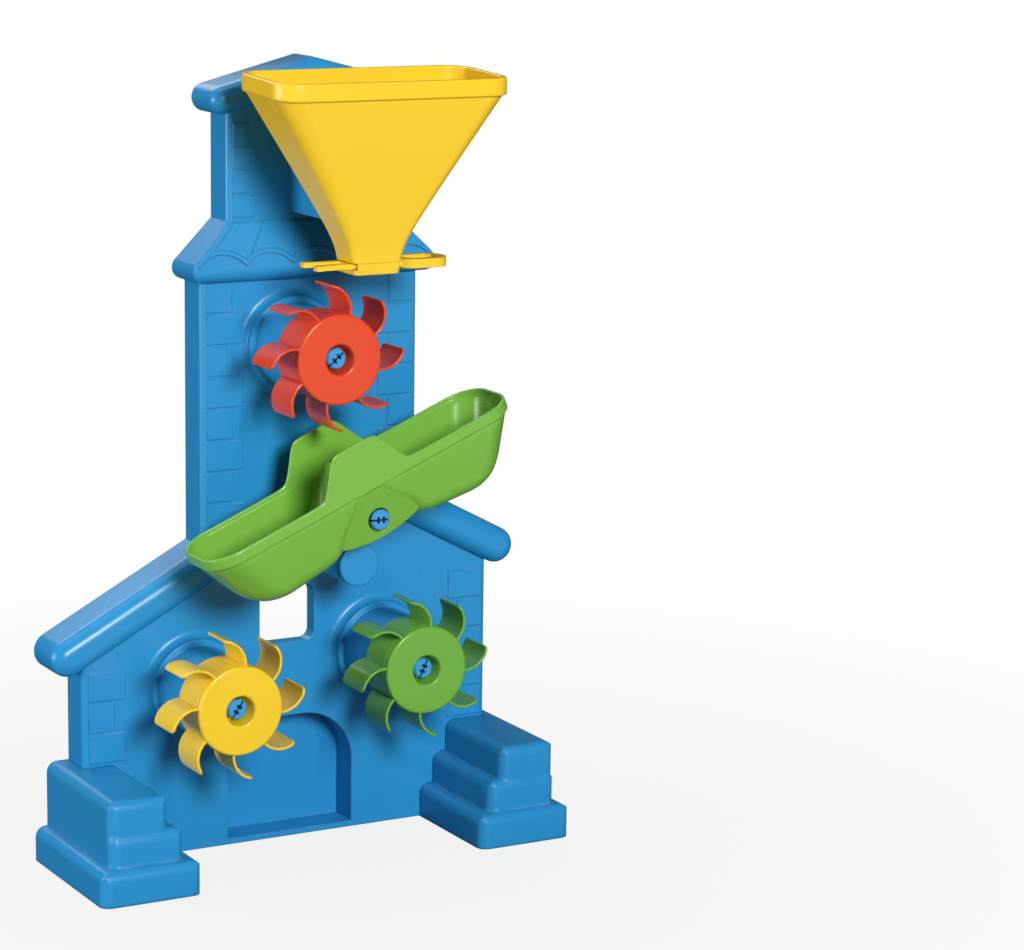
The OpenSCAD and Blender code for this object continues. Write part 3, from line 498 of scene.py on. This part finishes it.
def belly_grid(sign):
    """One belly: plan outlines stacked up the outside to the lip, then down the inside from a
    little above the lip to the floor, which rises towards the pin."""
    rise = np.array([0, 0.1, 0.4, 0.9, 1.6, 2.5, 3.6, 5, 6.6, 8.4, 10.4, 12.5, 16, 20, 25, 30,
                     33.5])[:, None]
    layers = []
    for inset, floor, top, order in ((0.0, TIP_FLOOR, TIP_LIP, 1),
                                     (TIP_WALL, TIP_FLOOR + TIP_WALL, INSIDE_TOP, -1)):
        z = (floor + rise * (top - floor) / rise[-1])[::order]
        depth = (top - z) / (top - floor)
        x0 = near_end(z + FLOOR_LIFT * depth) + END_WALL * inset
        x0 = x0 + drawn_in(z, floor, NEAR_ROUND - inset / 2)
        x1 = FAR_FOOT + FAR_LEAN * (z - TIP_FLOOR) - END_WALL * inset
        x1 = x1 - drawn_in(z, floor, FAR_ROUND - inset)
        half = half_depth(z) - inset - drawn_in(z, floor, SIDE_ROUND - inset)
        near = np.minimum(1.5 + 0.35 * (INSIDE_TOP - z), NEAR_CORNER)
        near = np.minimum(near, half * 0.8)
        far = np.minimum(FAR_CORNER - inset, half * 0.86)
        outline = plan(x0, x1, half, near, far)
        lift = FLOOR_LIFT * np.clip((LIFT_START - outline[..., 0]) / LIFT_LONG, 0, 1)
        height = z + lift * depth
        layers.append(np.concatenate([outline * (sign, 1), height[..., None]], -1))
    return np.concatenate(layers)


def guard_top(x):
    """Height of the upper edge: the rim, a slope and the guards' top, joined by two hyperbolas."""
    slope = (TIP_RIM + TIP_GUARD) / 2 + GUARD_SLOPE * (GUARD_MIDDLE - np.abs(x))
    above = (slope + TIP_RIM + np.sqrt((slope - TIP_RIM) ** 2 + GUARD_FOOT_SOFT)) / 2
    return (above + TIP_GUARD - np.sqrt((above - TIP_GUARD) ** 2 + GUARD_TOP_SOFT)) / 2


def rim_grid():
    """The lip and guards: a rounded upright strip carried round the whole plan, its rows given as
    inset, 1 for the top edge on guard_top or 0 for the lip, and the height from there."""
    strip = [(0.5, 0, 0.0), (0.1, 0, 0.15), (0.0, 0, 0.6), (0.0, 1, -0.9), (0.12, 1, -0.4),
             (0.45, 1, -0.08), (0.85, 1, 0.0), (1.25, 1, -0.08), (1.55, 1, -0.4),
             (1.65, 1, -0.9), (1.65, 0, -0.4), (1.5, 0, -0.5)]
    inset, top, shift = (np.array(v)[:, None] for v in zip(*strip))
    long, corner = TIP_LONG - inset, TIP_CORNER - inset
    outline = plan(-long, long, TIP_HALF - inset, corner, corner, 110)
    z = np.where(top > 0, guard_top(outline[..., 0]), TIP_LIP) + shift
    return np.concatenate([outline, z[..., None]], -1)


def ridge_grid():
    """The ridge between the bellies: a sheet whose crown is a hyperbola, its edges sunk in the
    walls."""
    x = np.linspace(-RIDGE_HALF, RIDGE_HALF, 41)[:, None]
    z = RIDGE_PEAK - RIDGE_SLOPE * np.sqrt(x * x + RIDGE_SOFT)
    wide = np.minimum(half_depth(z), RIDGE_WIDE) - RIDGE_SINK
    across = np.concatenate([np.linspace(-1, 1, 9), np.linspace(1, -1, 9)])
    under = np.repeat([0.0, RIDGE_THICK], 9)
    return np.stack([x + 0 * across, wide * across, z - under], -1)


def web_grid(side, recess):
    """One web: a polar sheet round the pin that reaches out to the lip, the bellies' ends or the
    curved lower edge, whichever is nearest, with the three blended into one another. Where the
    pin's head sits, its hole is a recess with a floor."""
    angle = np.linspace(0, 2 * np.pi, 96, endpoint=False)
    c, s = np.cos(angle), np.sin(angle)
    free, far_off = 1e-6, 1e3
    lid = np.where(s > free, (TIP_LIP + LIP_LAP) / np.maximum(s, free), far_off)
    towards = np.abs(c) + END_LEAN * s
    end = near_end(0.0) + END_LAP
    ends = np.where(towards > free, end / np.maximum(towards, free), far_off)
    sill = SILL_MIDDLE * s + np.sqrt(SILL_RADIUS ** 2 - (SILL_MIDDLE * c) ** 2)
    reach = sum(edge ** -WEB_BLEND for edge in (lid, ends, sill)) ** (-1 / WEB_BLEND)
    hole = RECESS if recess else BORE
    out = np.array([0, 0.02, 0.3, 0.6, 0.9, 0.97, 1.0, 1.0, 0.97, 0.6, 0.3, 0.0])[:, None]
    back = np.array([0.35, 0, 0, 0, 0, 0.1, 0.5, 1.3, 1.8, 1.8, 1.8, 1.8])[:, None]
    radius = hole + out * (reach - hole)
    face = web_face(radius * s) - back
    if recess:
        floor_radius = np.array([BORE, BORE, RECESS])[:, None] + 0 * angle
        floor_face = np.array([RECESS_BACK, RECESS_FLOOR, RECESS_FLOOR])[:, None] + 0 * angle
        radius, face = np.concatenate([radius, floor_radius]), np.concatenate([face, floor_face])
    return np.stack([radius * c, side * face, radius * s], -1)


def sleeve_grid():
    """The pin's sleeve between the webs, with a collar at the back: a tube's closed section turned
    round the pin."""
    turn = np.linspace(0, 2 * np.pi, 64, endpoint=False)
    radius = np.array([BORE, BORE, COLLAR, COLLAR, SLEEVE, SLEEVE])[:, None]
    depth = np.array([SLEEVE_END, WEB_TOP, WEB_TOP, COLLAR_START, COLLAR_START, SLEEVE_END])
    depth = depth[:, None]
    return np.stack([radius * np.cos(turn), depth + 0 * turn, radius * np.sin(turn)], -1)


def tipped(grid):
    """Millimetres in the tipper's level axes to the toy's frame at its resting tilt."""
    x, y, z = np.moveaxis(grid * 0.001, -1, 0)
    c, s = math.cos(TIP_TILT), math.sin(TIP_TILT)
    return np.stack([x * c - z * s, y, x * s + z * c], -1) + TIP_AXLE


tipper_skins = [skin(tipped(belly_grid(sign)), False) for sign in (-1, 1)]
tipper_skins += [skin(tipped(grid), True) for grid in (rim_grid(), web_grid(-1, True),
                                                       web_grid(1, False), sleeve_grid())]
tipper_skins.append(skin(tipped(ridge_grid()), False))
trough_plastic = moulded("trough_plastic", TROUGH_GREEN, TROUGH_DEEP, gloss=0.17, shine=0.45)
piece("double_trough", tipper_skins, trough_plastic, "trough", "tipper")

# Pins: four blue push-in axles, one for each turning piece. The heads are split
# by a toothed slot so that they spring through the bore; its bottom is painted shade.
PIN_BLUE = "3A96D2"
PIN_DEEP = "2A86C6"
WHEEL_PIN_FACE = -0.0201
TIPPER_PIN_FACE = -0.0343
SLOT_DEEP = 0.0011
WHEEL_PINS = ("pin_top", "pin_left", "pin_right")
for name, face, pins in (("wheel_pin_plastic", WHEEL_PIN_FACE, WHEEL_PINS),
                         ("tipper_pin_plastic", TIPPER_PIN_FACE, ("pin_tipper",))):
    pin_plastic = moulded(name, PIN_BLUE, PIN_DEEP, round_edge=0.0004,
                          shade_painted_behind=face + SLOT_DEEP)
    for pin in pins:
        dress(pin, pin_plastic)

# Studio: a pale floor and an even white surround, a lamp beside the
# camera, softer ones from the left, above and behind, and the photograph's camera.
# Floor and surround are white to the camera and give the toy little light.
FLOOR_HALF = 4.0
FLOOR_GREY = (0.28, 0.28, 0.28, 1.0)
PAPER_NEAR, PAPER_FAR = 0.1, 0.7
MIRROR_NEAR, MIRROR_FAR = -0.15, -0.5


def rays(wire, *kinds):
    """For each kind of ray a wire that is 1 for a ray of that kind and else 0."""
    outputs = wire.add("ShaderNodeLightPath").socket.node.outputs
    return [Wire(wire.tree, outputs[f"Is {kind} Ray"]) for kind in kinds]


floor_mesh = bpy.data.meshes.new("floor")
floor_mesh.from_pydata([(-FLOOR_HALF, -FLOOR_HALF, 0), (FLOOR_HALF, -FLOOR_HALF, 0),
                        (FLOOR_HALF, FLOOR_HALF, 0), (-FLOOR_HALF, FLOOR_HALF, 0)],
                       [], [(0, 1, 2, 3)])
floor = bpy.data.objects.new("floor", floor_mesh)
scene.collection.objects.link(floor)
paper = bpy.data.materials.new("floor_paper")
paper.use_nodes = True
paper_tree = paper.node_tree
paper_shader = paper_tree.nodes["Principled BSDF"]
paper_shader.inputs["Base Color"].default_value = FLOOR_GREY
paper_shader.inputs["Roughness"].default_value = 0.85
paper_wire = Wire(paper_tree)
seen, mirrored = rays(paper_wire, "Camera", "Glossy")
place = paper_wire.add("ShaderNodeTexCoord", out=3)
away = paper_wire.add("ShaderNodeVectorMath", {"operation": "LENGTH"}, {0: place}, out=1)
before = paper_wire.add("ShaderNodeSeparateXYZ", None, {0: place}, out=1)
before = before.between(MIRROR_NEAR, MIRROR_FAR)
glow = paper_wire.add("ShaderNodeEmission", None,
                      {"Color": seen + mirrored * before * 0.9, "Strength": 1.0})
white = 0.86 + 0.14 * away.between(PAPER_NEAR, PAPER_FAR)
veil = paper_wire.add("ShaderNodeMixShader", None,
                      {0: seen * white + mirrored,
                       1: Wire(paper_tree, paper_shader.outputs[0]), 2: glow})
paper_tree.links.new(veil.socket, paper_tree.nodes["Material Output"].inputs["Surface"])
floor_mesh.materials.append(paper)

surround = bpy.data.worlds.new("surround")
scene.world = surround
surround.use_nodes = True
sky = surround.node_tree
to_eye, through, off_gloss = rays(Wire(sky), "Camera", "Transmission", "Glossy")
level = 0.02 + (to_eye + through) * 0.98 + off_gloss * 0.05
sky.nodes["Background"].inputs["Color"].default_value = (1.0, 1.0, 1.0, 1.0)
sky.links.new(level.socket, sky.nodes["Background"].inputs["Strength"])


def lamp(name, spot, aim, size, power):
    """A square area lamp at spot, turned so that its beam runs to aim."""
    light = bpy.data.lights.new(name, "AREA")
    light.size = size
    light.energy = power
    holder = bpy.data.objects.new(name, light)
    scene.collection.objects.link(holder)
    x, y, z = (a - b for a, b in zip(aim, spot))
    holder.location = spot
    holder.rotation_euler = (math.atan2(math.hypot(x, y), -z), 0, math.atan2(-x, y))


MIDDLE = (0.0, 0.0, 0.2)
lamp("key_lamp", (-0.14, -2.05, 1.0), MIDDLE, 0.6, 52.0)
lamp("left_lamp", (-2.2, 0.42, 0.35), MIDDLE, 1.0, 37.0)
lamp("top_lamp", (-0.2, 0.15, 2.3), MIDDLE, 1.2, 11.0)
lamp("back_lamp", (0.1, 1.7, 1.7), MIDDLE, 1.2, 17.0)

PHOTO_LENS = 117.987
PHOTO_SPOT = (-0.73583, -1.4978, 0.53464)
PHOTO_TURN = (1.373152, -0.014098, -0.513522)
camera_data = bpy.data.cameras.new("camera")
camera_data.sensor_fit = "HORIZONTAL"
camera_data.sensor_width = 36.0
camera_data.lens = PHOTO_LENS
camera = bpy.data.objects.new("camera", camera_data)
scene.collection.objects.link(camera)
camera.location = PHOTO_SPOT
camera.rotation_euler = PHOTO_TURN
scene.camera = camera
scene.view_settings.view_transform = "Standard"
